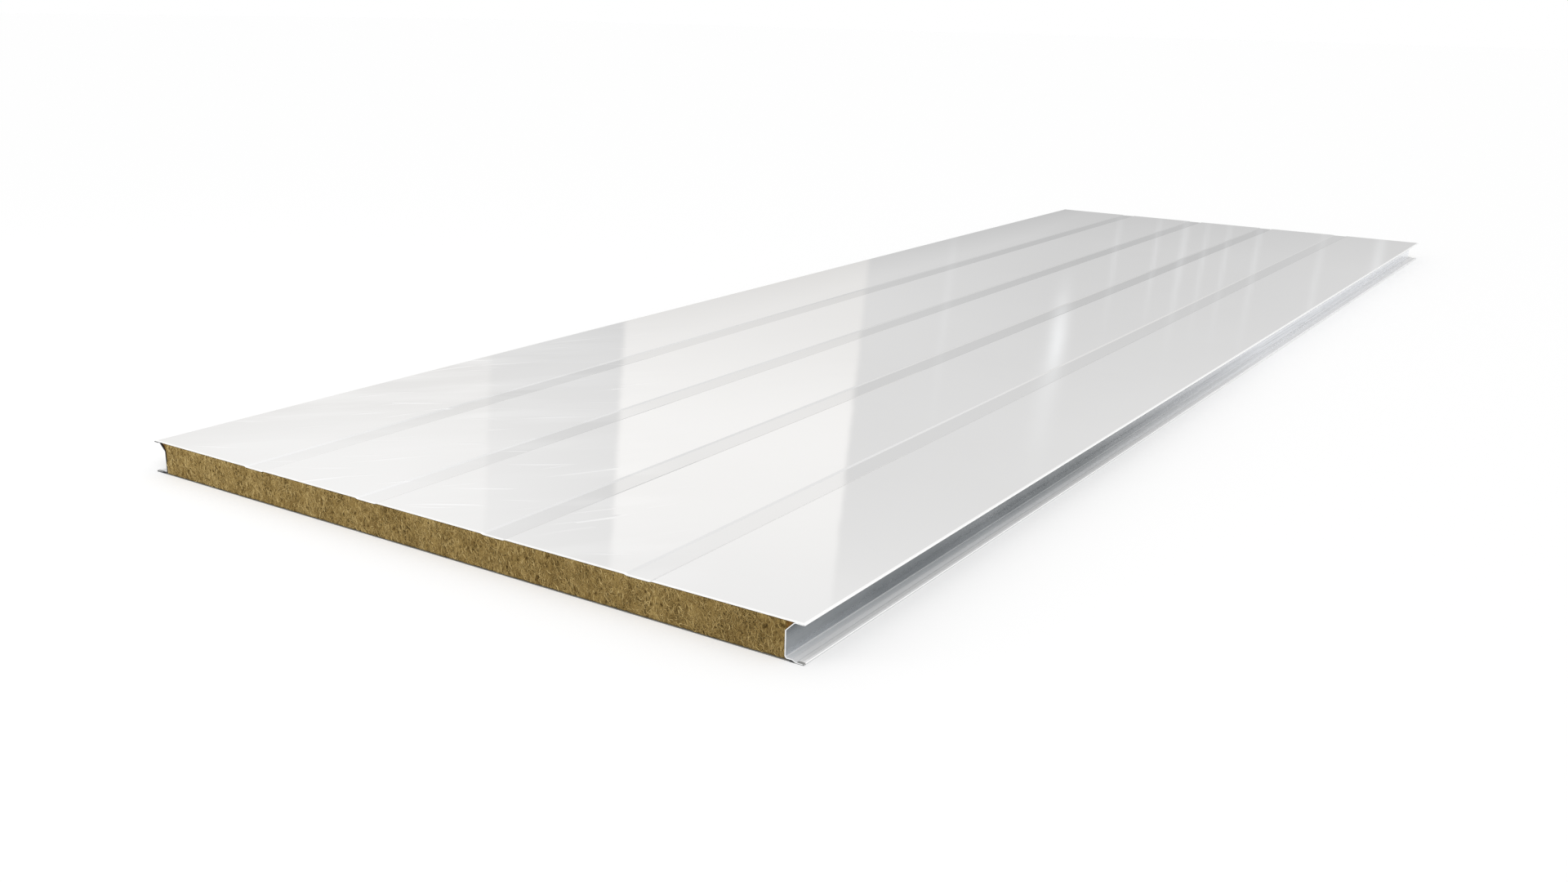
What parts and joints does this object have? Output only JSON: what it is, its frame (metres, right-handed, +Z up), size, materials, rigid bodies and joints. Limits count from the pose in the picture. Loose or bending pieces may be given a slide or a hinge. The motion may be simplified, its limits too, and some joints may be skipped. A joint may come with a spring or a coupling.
{
  "type": "insulated sandwich panel",
  "caption": "Flat insulated sandwich panel: swaged coated-steel facings with hemmed lips, grooved steel edge channels and a mineral-wool core of lamella rows.",
  "frame": {"origin": "centre of the underside, midway along the length and across the width", "axes": "+X across the width, +Y along the length, +Z up through the thickness towards the swaged facing"},
  "size_m": [1.18, 3.6, 0.05],
  "materials": {
    "top_facing": "glossy white coil coating on steel",
    "bottom_facing": "glossy white coil coating on steel",
    "edge_channel": "bright galvanised, roll-formed",
    "wool": "matte resin-bound mineral fibre"
  },
  "bodies": {
    "root": {"top_facing": "top_facing", "bottom_facing": "bottom_facing", "edge_channel_left": "edge_channel", "edge_channel_right": "edge_channel", "shoulder_strip_left": "wool", "shoulder_strip_right": "wool", "lamella_row_01": "wool", "lamella_row_02": "wool", "lamella_row_03": "wool", "lamella_row_04": "wool", "lamella_row_05": "wool", "lamella_row_06": "wool", "lamella_row_07": "wool", "lamella_row_08": "wool", "lamella_row_09": "wool", "lamella_row_10": "wool"}
  },
  "joints": []
}
